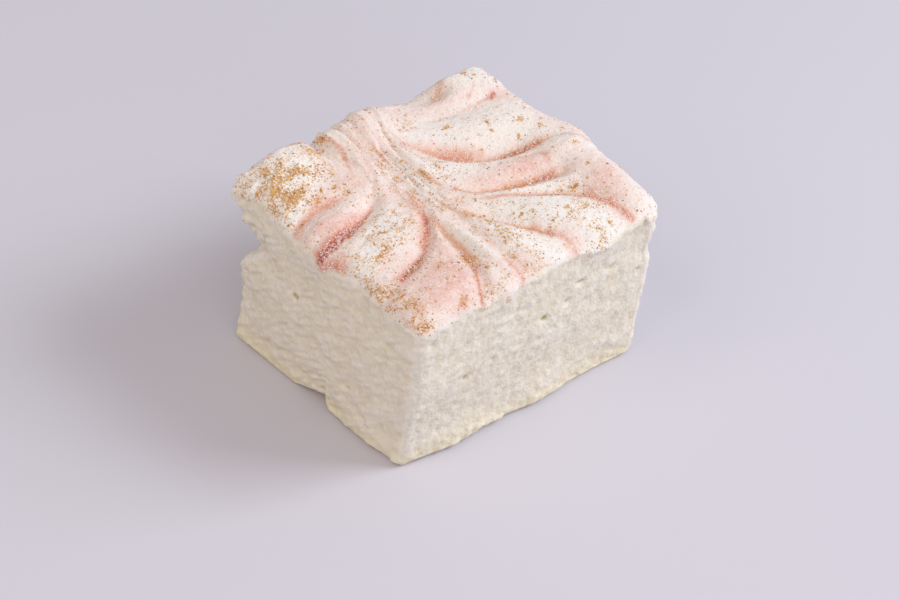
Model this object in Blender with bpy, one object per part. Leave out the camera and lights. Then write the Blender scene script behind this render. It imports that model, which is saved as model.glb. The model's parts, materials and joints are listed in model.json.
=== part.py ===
"""A hand-cut square marshmallow: cut foam sides, a flat foot and a feathered, sugared crust.

One closed body. A subdivided block is rounded, drawn to the uneven square of the cut, then its
crown is raised and the feathered swirls are pressed into it. Lengths are in millimetres until
the last step, which scales the body to metres.
"""

import bmesh
import bpy
import numpy as np
from mathutils import Vector

NAME = "marshmallow"
MILLIMETRE = 0.001

# The block before it is shaped.
HALF_WIDTH = 25.4
HALF_DEPTH = 22.0
SHOULDER_HEIGHT = 31.2
CELLS_ACROSS = 42
CELLS_DEEP = 36
CELLS_HIGH = 16
EDGE_CELLS = 2

# Rounded edges.
SHOULDER_RADIUS = 1.9
FOOT_RADIUS = 1.2

# How far each corner of the uneven cut lies from the true square, at the foot and the shoulder.
CORNER_SHIFT = {
    ("left", "front"): {"foot": (1.1, 2.0), "shoulder": (0.1, -0.3)},
    ("right", "front"): {"foot": (-0.3, 0.2), "shoulder": (0.3, 0.5)},
    ("left", "back"): {"foot": (-0.8, -2.0), "shoulder": (-0.6, -0.2)},
    ("right", "back"): {"foot": (-0.2, -0.6), "shoulder": (0.6, 0.1)},
}

# Cut sides: slow swelling, a pinched back corner and a nick in the foot of the left side.
SIDE_SWELL = 0.22
SIDE_SWELL_LENGTH = 11.0
PINCH_CENTRE = (-25.4, 21.5, 19.8)
PINCH_REACH = (7.0, 8.5, 3.4)
PINCH_REACH_ABOVE = 5.0
PINCH_DEPTH = 6.2
PINCH_HEADING = (0.17, -0.98)
NICK_WALL = -2.9
NICK_LENGTH = 7.6
NICK_HEIGHT = 2.9
NICK_REACH = 4.0
WAIST_CENTRE = (25.0, -21.6, 22.0)
WAIST_REACH = (3.0, 3.0, 1.8)
WAIST_DEPTH = 0.6

# Bulges of the sides: side, place along it, level, half length, half height, how far it stands
# out. A crust bulge keeps its full size above its level.
CRUST_LEVEL = 28.5
SIDE_BULGES = (
    ("right", 0.2, CRUST_LEVEL, 5.0, 4.5, 2.2),
    ("right", -12.0, CRUST_LEVEL, 7.5, 4.5, 1.0),
    ("right", -20.0, CRUST_LEVEL, 4.0, 7.0, 0.5),
    ("right", -23.0, 17.0, 9.0, 9.0, 0.7),
    ("left", -0.6, CRUST_LEVEL, 3.0, 4.0, 0.9),
    ("left", 6.0, CRUST_LEVEL, 2.0, 4.0, 0.4),
    ("left", -8.6, CRUST_LEVEL, 1.6, 3.0, -0.6),
    ("left", 20.0, CRUST_LEVEL, 3.5, 4.5, 0.7),
    ("left", 20.0, 10.0, 5.0, 7.0, -1.3),
    ("front", 13.0, CRUST_LEVEL, 4.0, 3.0, 0.7),
    ("front", -8.0, CRUST_LEVEL, 2.5, 3.0, 0.4),
    ("front", -14.0, 1.5, 7.0, 4.0, 1.3),
    ("front", 4.0, 1.5, 6.0, 4.0, 0.9),
    ("left", -11.0, 2.0, 6.0, 4.0, 0.7),
    ("back", -24.0, 25.2, 3.0, 1.2, 0.8),
    ("back", 0.0, CRUST_LEVEL, 16.0, 12.0, 0.7),
    ("back", -22.0, 10.0, 6.0, 7.0, -1.3),
    ("back", 20.0, 10.0, 5.0, 9.0, -0.6),
)

# Crown: a low dome that climbs to the back, with the waves of the torn back edge.
DOME_RISE = 0.5
BACK_RISE = 1.5
RIGHT_RISE = 2.0
FRONT_ROLL = 0.7
FRONT_ROLL_WIDTH = 4.0
BACK_WAVES = (
    (-16.8, 4.2, 1.5),
    (-10.5, 1.2, -1.7),
    (-8.3, 0.8, 0.8),
    (-1.0, 5.2, 1.7),
    (10.6, 4.0, -1.1),
    (17.6, 3.2, 0.8),
    (22.4, 1.4, 0.5),
)

# Feathered furrows, each a curve from its start through two bends to its end; then its half
# width, its depth, its lean (how much wider it slopes on its left hand than on its right) and
# the share of its depth that is left at its end.
FURROWS = {
    "left back": ((-12.3, 8.0), (-19.5, 8.1), (-25.5, 9.1), (-26.2, 5.1), 1.2, 0.7, 0.0, 0.6),
    "left middle": ((-9.5, 6.8), (-11.6, 4.1), (-17.1, 2.7), (-26.8, -1.0), 1.5, 1.2, 0.1, 0.2),
    "left front": ((-6.3, 2.7), (-6.2, -5.8), (-13.2, -10.1), (-25.8, -13.4), 1.3, 1.0, -0.2, 0.3),
    "left of stem": ((-7.0, -1.8), (-7.7, -9.3), (-7.7, -15.3), (-13.0, -22.2), 1.3, 1.0, 0.2, 1.0),
    "back groove": ((-10.1, 10.2), (-8.0, 16.0), (-7.5, 19.0), (-9.2, 23.5), 1.1, 0.7, 0.2, 1.0),
    "right back": ((0.7, 13.1), (4.3, 5.6), (11.0, 1.0), (26.5, -1.2), 1.9, 1.3, 0.35, 0.1),
    "right middle": ((-0.3, 0.6), (4.3, -2.9), (10.2, -5.0), (17.2, -7.3), 1.7, 1.3, 0.35, 0.9),
    "right front": ((4.2, -5.6), (12.8, -8.3), (20.8, -13.8), (19.8, -22.6), 1.2, 1.0, 0.1, 0.5),
    "right of stem": ((-2.3, -3.3), (0.8, -9.8), (5.3, -14.3), (9.3, -21.7), 1.4, 1.0, 0.2, 0.4),
    "right edge": ((5.1, 15.1), (11.5, 14.9), (17.5, 13.4), (25.1, 11.6), 1.4, 0.6, 0.0, 0.3),
    "back hollow": ((15.6, 17.1), (13.4, 19.4), (10.9, 20.9), (9.4, 23.4), 1.9, 0.6, 0.0, 1.0),
    "curl": ((13.6, -0.7), (16.8, -0.9), (17.9, -2.5), (16.5, -4.9), 1.1, 0.45, 0.0, 0.3),
}
CURVE_STEPS = 48
START_FADE = 0.3

# Pillows of foam between the furrows: centre, half length, half width, turn in degrees, rise.
PILLOWS = (
    (-16.0, -16.8, 6.5, 4.0, -12.0, 0.9),
    (-19.5, 4.6, 5.5, 1.9, 4.0, 0.8),
    (-18.5, 14.5, 6.0, 4.5, 0.0, 0.6),
    (-16.5, -4.0, 7.0, 3.0, 18.0, 0.5),
    (15.0, 8.2, 8.0, 3.6, -10.0, 0.8),
    (11.0, -2.0, 8.0, 1.8, -8.0, 0.6),
    (22.0, -3.5, 3.0, 2.0, 0.0, 0.5),
    (10.0, -13.5, 6.5, 3.4, -42.0, 0.9),
    (22.5, -12.0, 3.0, 6.0, 0.0, 0.5),
    (15.5, 17.0, 6.0, 1.8, -10.0, 0.5),
    (-6.0, -11.0, 1.1, 8.0, 3.0, 0.6),
    (-1.0, -16.0, 2.2, 5.5, -8.0, 0.5),
    (2.5, 5.0, 1.8, 2.6, 20.0, 0.4),
)

# Combed threads of the stem.
STEM_CENTRE = -4.6
STEM_LEAN = 0.055
STEM_HALF_WIDTH = 5.4
THREAD_SPACING = 2.9
THREAD_DEPTH = 0.2

# Uneven skin of the crust.
SKIN_DEPTH = 0.14
SKIN_LENGTH = 3.4


def smooth(value):
    """Ease from 0 to 1 as the value goes from 0 to 1."""
    value = np.clip(value, 0.0, 1.0)
    return value * value * (3.0 - 2.0 * value)


def bump(value):
    """A soft hump: 1 at 0, near nothing past 2."""
    return np.exp(-value * value)


def swell(x, y, z, length):
    """Slow, uneven waves between -1 and 1, with no seam and no repeat inside the block."""
    a = np.sin(x / length * 2.1 + 1.3 * np.sin(z / length * 1.7 + 0.4) + 0.9)
    b = np.sin(y / length * 1.8 + 1.1 * np.sin(x / length * 1.3 + 2.0) + 2.3)
    c = np.sin(z / length * 2.4 + 1.2 * np.sin(y / length * 1.9 + 1.1) + 4.1)
    return (a + b + c) / 3.0


def curve(start, first, second, end, steps):
    """Points along the cubic curve with these ends and bends."""
    t = np.linspace(0.0, 1.0, steps)[:, None]
    points = np.array((start, first, second, end))
    u = 1.0 - t
    return u**3 * points[0] + 3 * u * u * t * points[1] + 3 * u * t * t * points[2] + t**3 * points[3]


def furrow_depth(x, y, furrow):
    """Depth of one furrow at each place: full along its middle, fading where it starts."""
    start, first, second, end, half_width, depth, lean, end_share = furrow
    line = curve(start, first, second, end, CURVE_STEPS)
    heading = np.gradient(line, axis=0)
    away_x = x[:, None] - line[:, 0]
    away_y = y[:, None] - line[:, 1]
    distance = np.hypot(away_x, away_y)
    nearest = distance.argmin(axis=1)
    each = np.arange(len(x))
    turn = heading[nearest, 0] * away_y[each, nearest] - heading[nearest, 1] * away_x[each, nearest]
    hand = turn / (np.hypot(*heading[nearest].T) * (distance[each, nearest] + 0.3))
    along = nearest / (CURVE_STEPS - 1)
    fade = smooth(along / START_FADE) * (1.0 - (1.0 - end_share) * smooth(along * 2.0 - 1.0))
    width = half_width * (0.6 + 0.4 * smooth(along / START_FADE)) * (1.0 + lean * hand)
    return depth * fade * bump(distance[each, nearest] / width)


def pillow_rise(x, y, pillow):
    """Rise of one oval pillow at each place."""
    centre_x, centre_y, half_length, half_width, turn, rise = pillow
    angle = np.radians(turn)
    along = (x - centre_x) * np.cos(angle) + (y - centre_y) * np.sin(angle)
    across = (y - centre_y) * np.cos(angle) - (x - centre_x) * np.sin(angle)
    return rise * bump(np.hypot(along / half_length, across / half_width))


def stem_threads(x, y):
    """The combed ridges along the stem of the feather."""
    offset = x - STEM_CENTRE - STEM_LEAN * y - 0.5 * np.sin(y / 9.0)
    window = bump((offset / STEM_HALF_WIDTH) ** 2)
    return THREAD_DEPTH * window * np.sin(2.0 * np.pi * offset / THREAD_SPACING)


def crown_level(x, y):
    """Height of the crown over each place, before the swirls."""
    dome = DOME_RISE * (1.0 - (x / HALF_WIDTH) ** 2) * (1.0 - (y / HALF_DEPTH) ** 2)
    back = BACK_RISE * smooth((y - 4.0) / (HALF_DEPTH - 6.0))
    right = RIGHT_RISE * smooth((x - 10.0) / 14.0) * bump((y + 4.0) / 16.0)
    roll = FRONT_ROLL * smooth(1.0 - (y + HALF_DEPTH) / FRONT_ROLL_WIDTH)
    roll = roll + FRONT_ROLL * smooth(1.0 - (x + HALF_WIDTH) / FRONT_ROLL_WIDTH)
    near_back = smooth((y - HALF_DEPTH + 10.0) / 8.0)
    waves = sum(rise * bump((x - place) / width) for place, width, rise in BACK_WAVES)
    return SHOULDER_HEIGHT + dome + back + right - roll + near_back * waves


def swirl_relief(x, y):
    """Furrows, pillows, threads and uneven skin of the crust."""
    deepest = np.zeros_like(x)
    for furrow in FURROWS.values():
        depth = furrow_depth(x, y, furrow)
        deepest = np.maximum(deepest, depth) + 0.25 * np.minimum(deepest, depth)
    raised = sum(pillow_rise(x, y, pillow) for pillow in PILLOWS)
    skin = SKIN_DEPTH * swell(x, y, 0.0 * x, SKIN_LENGTH)
    return raised - deepest + stem_threads(x, y) + skin


def rounded(block):
    """Round the block's edges; returns the points and their outward directions."""
    height_share = smooth(block[:, 2] / SHOULDER_HEIGHT)
    radius = FOOT_RADIUS + (SHOULDER_RADIUS - FOOT_RADIUS) * height_share
    half = np.array((HALF_WIDTH, HALF_DEPTH))
    core = block.copy()
    core[:, :2] = np.clip(block[:, :2], radius[:, None] - half, half - radius[:, None])
    core[:, 2] = np.clip(block[:, 2], radius, SHOULDER_HEIGHT - radius)
    outward = block - core
    outward /= np.linalg.norm(outward, axis=1)[:, None]
    return core + radius[:, None] * outward, outward


def uneven_square(points):
    """Draw the four corners to their places, and everything between them with them."""
    share_x = (points[:, 0] / HALF_WIDTH + 1.0) / 2.0
    share_y = (points[:, 1] / HALF_DEPTH + 1.0) / 2.0
    share_z = smooth(points[:, 2] / (0.6 * SHOULDER_HEIGHT))
    moved = points.copy()
    for (side, end), shift in CORNER_SHIFT.items():
        across = share_x if side == "right" else 1.0 - share_x
        weight = across * (share_y if end == "back" else 1.0 - share_y)
        for axis in range(2):
            low, high = shift["foot"][axis], shift["shoulder"][axis]
            moved[:, axis] += weight * (low + (high - low) * share_z)
    return moved


def dent(points, centre, reach, depth):
    """Depth of a soft dent with this centre and reach."""
    distance = (points - np.array(centre)) / np.array(reach)
    return depth * bump(np.linalg.norm(distance, axis=1))


def side_relief(points, outward):
    """How far the sides stand out, along their horizontal outward direction."""
    x, y, z = points.T
    out = SIDE_SWELL * swell(x, y, z, SIDE_SWELL_LENGTH)
    facing = {
        "right": outward[:, 0],
        "left": -outward[:, 0],
        "front": -outward[:, 1],
        "back": outward[:, 1],
    }
    for side, place, level, half_length, half_height, stand in SIDE_BULGES:
        along = y if side in ("left", "right") else x
        height = np.minimum(z, level) if level == CRUST_LEVEL else z
        near = bump((along - place) / half_length) * bump((height - level) / half_height)
        out += stand * np.maximum(facing[side], 0.0) * near
    return out - dent(points, WAIST_CENTRE, WAIST_REACH, WAIST_DEPTH)


def pinched(points):
    """Draw the back left corner in along the left side, which stays flat; sharper below."""
    above = points.copy()
    squeeze = PINCH_REACH[2] / PINCH_REACH_ABOVE
    high = above[:, 2] > PINCH_CENTRE[2]
    above[high, 2] = PINCH_CENTRE[2] + squeeze * (above[high, 2] - PINCH_CENTRE[2])
    moved = points.copy()
    moved[:, :2] += dent(above, PINCH_CENTRE, PINCH_REACH, PINCH_DEPTH)[:, None] * PINCH_HEADING
    return moved


def nick_lift(points):
    """Lift of the foot where a nick was torn from the left side: a wall, then a slope."""
    x, y, z = points.T
    slope = np.clip(1.0 - (y - NICK_WALL) / NICK_LENGTH, 0.0, 1.0) * (y > NICK_WALL)
    reach = smooth(1.0 - (x + HALF_WIDTH) / NICK_REACH)
    return NICK_HEIGHT * slope * reach * smooth(1.0 - z / 9.0)


def shape(block):
    """Place every point of the plain block on the marshmallow."""
    points, outward = rounded(block)
    level = crown_level(points[:, 0], points[:, 1])
    relief = swirl_relief(points[:, 0], points[:, 1])
    points = pinched(uneven_square(points))
    sideways = np.hypot(outward[:, 0], outward[:, 1])
    direction = outward[:, :2] / np.maximum(sideways, 1e-6)[:, None]
    out = side_relief(points, outward) * smooth(sideways)
    above_foot = points[:, 2] / SHOULDER_HEIGHT
    foot_lift = nick_lift(points)
    points[:, :2] += direction * out[:, None]
    points[:, 2] += (level - SHOULDER_HEIGHT) * above_foot**2
    points[:, 2] += relief * smooth(outward[:, 2] * 1.2) + foot_lift
    return points


def line_of_cells(index, cells, low, high, low_edge, high_edge):
    """Where each line of the block's cells lies, with narrow cells in both rounded edges."""
    marks = (0, EDGE_CELLS, cells - EDGE_CELLS, cells)
    return np.interp(index, marks, (low, low + low_edge, high - high_edge, high))


def subdivide_along(mesh, axis, cells):
    """Cut every edge that runs along one axis into this many parts."""
    edges = [e for e in mesh.edges if abs((e.verts[1].co - e.verts[0].co)[axis]) > 0.5]
    bmesh.ops.subdivide_edges(mesh, edges=edges, cuts=cells - 1, use_grid_fill=True)


def block_mesh():
    """A closed block, one unit a cell, with its first corner at the origin."""
    mesh = bmesh.new()
    bmesh.ops.create_cube(mesh, size=1.0)
    cells = (CELLS_ACROSS, CELLS_DEEP, CELLS_HIGH)
    for axis in range(3):
        subdivide_along(mesh, axis, cells[axis])
    for vertex in mesh.verts:
        vertex.co = Vector((vertex.co[i] + 0.5) * cells[i] for i in range(3))
    return mesh


def build_marshmallow():
    """Build, shape and centre the body, and rest it on the ground."""
    mesh = block_mesh()
    index = np.array([vertex.co[:] for vertex in mesh.verts])
    block = np.empty_like(index)
    block[:, 0] = line_of_cells(
        index[:, 0], CELLS_ACROSS, -HALF_WIDTH, HALF_WIDTH, SHOULDER_RADIUS, SHOULDER_RADIUS
    )
    block[:, 1] = line_of_cells(
        index[:, 1], CELLS_DEEP, -HALF_DEPTH, HALF_DEPTH, SHOULDER_RADIUS, SHOULDER_RADIUS
    )
    block[:, 2] = line_of_cells(
        index[:, 2], CELLS_HIGH, 0.0, SHOULDER_HEIGHT, FOOT_RADIUS, SHOULDER_RADIUS
    )
    points = shape(block)
    centre = (points[:, :2].min(axis=0) + points[:, :2].max(axis=0)) / 2.0
    points[:, :2] -= centre
    print("moved to its centre by", (-centre).round(4))
    for vertex, point in zip(mesh.verts, points):
        vertex.co = Vector(point) * MILLIMETRE

    flat = [face for face in mesh.faces if all(abs(v.co.z) < 1e-7 for v in face.verts)]
    bmesh.ops.dissolve_faces(mesh, faces=flat)
    bmesh.ops.triangulate(mesh, faces=mesh.faces)
    bmesh.ops.recalc_face_normals(mesh, faces=mesh.faces)
    body = bpy.data.meshes.new(NAME)
    mesh.to_mesh(body)
    mesh.free()
    body.shade_smooth()
    marshmallow = bpy.data.objects.new(NAME, body)
    bpy.context.scene.collection.objects.link(marshmallow)
    return marshmallow


def foam_material():
    """Matt, cream-white marshmallow foam with a blush of pink."""
    material = bpy.data.materials.new("marshmallow foam")
    material.use_nodes = True
    finish = material.node_tree.nodes["Principled BSDF"].inputs
    finish["Base Color"].default_value = (0.80, 0.66, 0.58, 1.0)
    finish["Roughness"].default_value = 0.75
    finish["Metallic"].default_value = 0.0
    return material


def main():
    for old in list(bpy.data.objects):
        bpy.data.objects.remove(old, do_unlink=True)
    marshmallow = build_marshmallow()
    marshmallow.data.materials.append(foam_material())
    print(NAME, "measures", [round(side * 1000.0, 2) for side in marshmallow.dimensions], "mm")
    print("faces", len(marshmallow.data.polygons))


main()
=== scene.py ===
# %% [markdown]
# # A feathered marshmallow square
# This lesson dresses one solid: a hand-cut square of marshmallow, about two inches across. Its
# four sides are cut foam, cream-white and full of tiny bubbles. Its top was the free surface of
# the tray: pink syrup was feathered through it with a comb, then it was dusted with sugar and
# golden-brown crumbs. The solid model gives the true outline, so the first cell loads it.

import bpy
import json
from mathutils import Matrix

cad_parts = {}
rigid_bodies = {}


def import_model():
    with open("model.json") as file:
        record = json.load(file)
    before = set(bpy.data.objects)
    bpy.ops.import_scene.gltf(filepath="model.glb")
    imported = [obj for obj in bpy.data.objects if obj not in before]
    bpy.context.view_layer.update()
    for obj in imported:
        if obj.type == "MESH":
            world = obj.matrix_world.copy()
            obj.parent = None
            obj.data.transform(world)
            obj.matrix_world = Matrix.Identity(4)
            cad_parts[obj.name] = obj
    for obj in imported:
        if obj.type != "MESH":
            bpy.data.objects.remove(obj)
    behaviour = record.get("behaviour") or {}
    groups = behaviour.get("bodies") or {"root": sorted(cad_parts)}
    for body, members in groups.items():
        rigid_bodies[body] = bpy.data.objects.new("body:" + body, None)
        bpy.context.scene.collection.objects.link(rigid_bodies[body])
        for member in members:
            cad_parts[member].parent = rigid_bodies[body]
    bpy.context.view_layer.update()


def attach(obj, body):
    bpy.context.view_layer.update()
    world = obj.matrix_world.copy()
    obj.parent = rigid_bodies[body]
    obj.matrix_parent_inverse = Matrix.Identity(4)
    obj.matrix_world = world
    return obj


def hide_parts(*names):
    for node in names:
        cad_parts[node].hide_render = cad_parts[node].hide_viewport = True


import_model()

# %% [markdown]
# ## Small tools
# Nearly every soft form here is built from two curves: one that eases from 0 to 1, and one soft
# hump. The uneven skin comes from Blender's own noise, asked for at every point of the mesh.
# Lengths are in millimetres until a mesh is written, because food is easier to think of that way.

# %% Easing, humps and noise
import json
import math

import bmesh
import bpy
import numpy as np
from mathutils import Euler, Matrix, Vector, noise

MILLIMETRE = 0.001


def smooth(value):
    """Ease from 0 to 1 as the value goes from 0 to 1."""
    value = np.clip(value, 0.0, 1.0)
    return value * value * (3.0 - 2.0 * value)


def bump(value):
    """A soft hump: 1 at 0, near nothing past 2."""
    return np.exp(-value * value)


def lumps(points, size, seed):
    """Random heights between about -1 and 1, in lumps of this size along x, y and z."""
    spread = points / np.array(size) + seed * np.array((17.3, 5.9, 11.7))
    return 1.6 * np.array([noise.noise(place) for place in spread.tolist()])


print("a hump at 0, 1 and 2:", bump(np.array((0.0, 1.0, 2.0))).round(3))

# %% [markdown]
# ## The block
# The body starts as a plain block. Geometry Nodes has a cube with as many cells along each side
# as we ask for, so the tree below is only that one node with named inputs. A small class keeps
# node trees readable: one method makes any node, sets it and joins it, and its result can be
# added or multiplied like a number. The same class serves the materials further down.

# %% A bench for node trees
class Bench:
    """A node tree being built: one method makes any node and hands back one of its outputs."""

    def __init__(self, tree):
        self.tree = tree

    def node(self, kind, settings=None, values=None, give=0):
        """Make a node, apply its settings, then fill or link its inputs."""
        made = self.tree.nodes.new(kind)
        for name, setting in (settings or {}).items():
            if name == "stops":
                self.set_ramp(made.color_ramp, setting)
            else:
                setattr(made, name, setting)
        for name, value in (values or {}).items():
            if isinstance(value, Output):
                self.tree.links.new(value.socket, made.inputs[name])
            else:
                made.inputs[name].default_value = value
        return Output(self, made.outputs[give]) if made.outputs else made

    @staticmethod
    def set_ramp(ramp, stops):
        """Set a colour ramp's stops, given as position and colour."""
        while len(ramp.elements) < len(stops):
            ramp.elements.new(1.0)
        for element, (position, colour) in zip(ramp.elements, stops):
            element.position = position
            element.color = colour


class Output:
    """A node's output that takes part in sums: each operator adds the Math node it needs."""

    def __init__(self, bench, socket):
        self.bench = bench
        self.socket = socket

    def math(self, operation, *values):
        """One Math node with these values."""
        return self.bench.node("ShaderNodeMath", {"operation": operation}, dict(enumerate(values)))

    def __add__(self, other):
        return self.math("ADD", self, other)

    def __sub__(self, other):
        return self.math("SUBTRACT", self, other)

    def __rsub__(self, other):
        return self.math("SUBTRACT", other, self)

    def __mul__(self, other):
        return self.math("MULTIPLY", self, other)

    __radd__ = __add__
    __rmul__ = __mul__

    def clipped(self):
        """The same number kept between 0 and 1."""
        return self.bench.node("ShaderNodeClamp", values={"Value": self})

    def eased(self, low, high):
        """0 below low, 1 above high, and a smooth step between."""
        return self.bench.node(
            "ShaderNodeMapRange",
            {"interpolation_type": "SMOOTHSTEP"},
            {"Value": self, "From Min": low, "From Max": high},
        )


print("bench ready")

# %% A tree with named inputs, and how it is used
def new_tree(name, inputs):
    """A Geometry Nodes tree that takes these named inputs and gives a mesh."""
    tree = bpy.data.node_groups.new(name, "GeometryNodeTree")
    tree.interface.new_socket("Geometry", in_out="OUTPUT", socket_type="NodeSocketGeometry")
    for label, kind in inputs.items():
        tree.interface.new_socket(label, in_out="INPUT", socket_type="NodeSocket" + kind)
    bench = Bench(tree)
    entry = tree.nodes.new("NodeGroupInput")
    given = {label: Output(bench, entry.outputs[label]) for label in inputs}
    return bench, given


def close_tree(bench, shape, material):
    """Make every copy real, give it its material, and end the tree."""
    real = bench.node("GeometryNodeRealizeInstances", values={"Geometry": shape})
    dressed = bench.node("GeometryNodeSetMaterial", values={"Geometry": real, "Material": material})
    bench.node("NodeGroupOutput", values={"Geometry": dressed})


def grow(name, bench, values):
    """Run a tree once with these values and keep what it makes as a plain mesh object."""
    shell = bpy.data.objects.new(name + "_source", bpy.data.meshes.new(name + "_source"))
    bpy.context.scene.collection.objects.link(shell)
    modifier = shell.modifiers.new("grow", "NODES")
    modifier.node_group = bench.tree
    for item in bench.tree.interface.items_tree:
        if item.in_out == "INPUT" and item.name in values:
            modifier[item.identifier] = values[item.name]
    evaluated = shell.evaluated_get(bpy.context.evaluated_depsgraph_get())
    mesh = bpy.data.meshes.new_from_object(evaluated)
    mesh.name = name
    bpy.data.objects.remove(shell, do_unlink=True)
    made = bpy.data.objects.new(name, mesh)
    bpy.context.scene.collection.objects.link(made)
    return made


print("trees end in Realize Instances and Set Material")

# %% [markdown]
# ## The cut square
# The block's edges are rounded by pulling every point to one radius from an inner core. Then its
# corners are drawn to the places where the knife left them, the sides swell and dip, one back
# corner is pinched in, and a nick is torn from the foot of the left side. These are the same
# named sizes as the solid's, so the two agree.

# %% Sizes of the block
HALF_WIDTH = 25.4
HALF_DEPTH = 22.0
SHOULDER_HEIGHT = 31.2
SHOULDER_RADIUS = 1.9
FOOT_RADIUS = 1.2
CELLS = (196, 168, 84)
EDGE_CELLS = 6
TO_CENTRE = (-0.7107, -0.1804)

CORNER_SHIFT = {
    ("left", "front"): {"foot": (1.1, 2.0), "shoulder": (0.1, -0.3)},
    ("right", "front"): {"foot": (-0.3, 0.2), "shoulder": (0.3, 0.5)},
    ("left", "back"): {"foot": (-0.8, -2.0), "shoulder": (-0.6, -0.2)},
    ("right", "back"): {"foot": (-0.2, -0.6), "shoulder": (0.6, 0.1)},
}


def rounded(block):
    """Round the block's edges; returns the points and their outward directions."""
    height_share = smooth(block[:, 2] / SHOULDER_HEIGHT)
    radius = FOOT_RADIUS + (SHOULDER_RADIUS - FOOT_RADIUS) * height_share
    half = np.array((HALF_WIDTH, HALF_DEPTH))
    core = block.copy()
    core[:, :2] = np.clip(block[:, :2], radius[:, None] - half, half - radius[:, None])
    core[:, 2] = np.clip(block[:, 2], radius, SHOULDER_HEIGHT - radius)
    outward = block - core
    outward /= np.linalg.norm(outward, axis=1)[:, None]
    return core + radius[:, None] * outward, outward


def uneven_square(points):
    """Draw the four corners to their places, and everything between them with them."""
    share_x = (points[:, 0] / HALF_WIDTH + 1.0) / 2.0
    share_y = (points[:, 1] / HALF_DEPTH + 1.0) / 2.0
    share_z = smooth(points[:, 2] / (0.6 * SHOULDER_HEIGHT))
    moved = points.copy()
    for (side, end), shift in CORNER_SHIFT.items():
        across = share_x if side == "right" else 1.0 - share_x
        weight = across * (share_y if end == "back" else 1.0 - share_y)
        for axis in range(2):
            low, high = shift["foot"][axis], shift["shoulder"][axis]
            moved[:, axis] += weight * (low + (high - low) * share_z)
    return moved


print("corner shifts, mm:", {" ".join(k): v["shoulder"] for k, v in CORNER_SHIFT.items()})

# %% Swelling, bulges, pinch and nick
SIDE_SWELL = 0.22
SIDE_SWELL_LENGTH = 11.0
PINCH = ((-25.4, 21.5, 19.8), (7.0, 8.5, 3.4), 6.2)
PINCH_REACH_ABOVE = 5.0
PINCH_HEADING = (0.17, -0.98)
WAIST = ((25.0, -21.6, 22.0), (3.0, 3.0, 1.8), 0.6)
NICK_WALL, NICK_LENGTH, NICK_HEIGHT, NICK_REACH = -2.9, 7.6, 2.9, 4.0
NICK_WALL_WIDTH = 0.8
CRUST_LEVEL = 28.5

# Side, place along it, level, half length, half height, how far it stands out.
SIDE_BULGES = (
    ("right", 0.2, CRUST_LEVEL, 5.0, 4.5, 2.2),
    ("right", -12.0, CRUST_LEVEL, 7.5, 4.5, 1.0),
    ("right", -20.0, CRUST_LEVEL, 4.0, 7.0, 0.5),
    ("right", -23.0, 17.0, 9.0, 9.0, 0.7),
    ("left", -0.6, CRUST_LEVEL, 3.0, 4.0, 0.9),
    ("left", 6.0, CRUST_LEVEL, 2.0, 4.0, 0.4),
    ("left", -8.6, CRUST_LEVEL, 1.6, 3.0, -0.6),
    ("left", 20.0, CRUST_LEVEL, 3.5, 4.5, 0.7),
    ("left", 20.0, 10.0, 5.0, 7.0, -1.3),
    ("front", 13.0, CRUST_LEVEL, 4.0, 3.0, 0.7),
    ("front", -8.0, CRUST_LEVEL, 2.5, 3.0, 0.4),
    ("front", -14.0, 1.5, 7.0, 4.0, 1.3),
    ("front", 4.0, 1.5, 6.0, 4.0, 0.9),
    ("left", -11.0, 2.0, 6.0, 4.0, 0.7),
    ("back", -24.0, 25.2, 3.0, 1.2, 0.8),
    ("back", 0.0, CRUST_LEVEL, 16.0, 12.0, 0.7),
    ("back", -22.0, 10.0, 6.0, 7.0, -1.3),
    ("back", 20.0, 10.0, 5.0, 9.0, -0.6),
)


def swell(x, y, z, length):
    """Slow, uneven waves between -1 and 1, with no seam and no repeat inside the block."""
    a = np.sin(x / length * 2.1 + 1.3 * np.sin(z / length * 1.7 + 0.4) + 0.9)
    b = np.sin(y / length * 1.8 + 1.1 * np.sin(x / length * 1.3 + 2.0) + 2.3)
    c = np.sin(z / length * 2.4 + 1.2 * np.sin(y / length * 1.9 + 1.1) + 4.1)
    return (a + b + c) / 3.0


def dent(points, centre, reach, depth):
    """Depth of a soft dent with this centre and reach."""
    distance = (points - np.array(centre)) / np.array(reach)
    return depth * bump(np.linalg.norm(distance, axis=1))


def facing(outward):
    """How squarely each point looks to each of the four sides."""
    return {
        "right": np.maximum(outward[:, 0], 0.0),
        "left": np.maximum(-outward[:, 0], 0.0),
        "front": np.maximum(-outward[:, 1], 0.0),
        "back": np.maximum(outward[:, 1], 0.0),
    }


def along_side(points, side):
    """The coordinate that runs along a side."""
    return points[:, 1] if side in ("left", "right") else points[:, 0]


def side_relief(points, outward):
    """How far the sides stand out, along their horizontal outward direction."""
    x, y, z = points.T
    out = SIDE_SWELL * swell(x, y, z, SIDE_SWELL_LENGTH)
    looks = facing(outward)
    for side, place, level, half_length, half_height, stand in SIDE_BULGES:
        height = np.minimum(z, level) if level == CRUST_LEVEL else z
        near = bump((along_side(points, side) - place) / half_length)
        out += stand * looks[side] * near * bump((height - level) / half_height)
    return out - dent(points, *WAIST)


def pinched(points):
    """Draw the back left corner in along the left side, which stays flat; sharper below."""
    centre, reach, _ = PINCH
    above = points.copy()
    high = above[:, 2] > centre[2]
    above[high, 2] = centre[2] + (above[high, 2] - centre[2]) * reach[2] / PINCH_REACH_ABOVE
    moved = points.copy()
    moved[:, :2] += dent(above, *PINCH)[:, None] * PINCH_HEADING
    return moved


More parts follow.
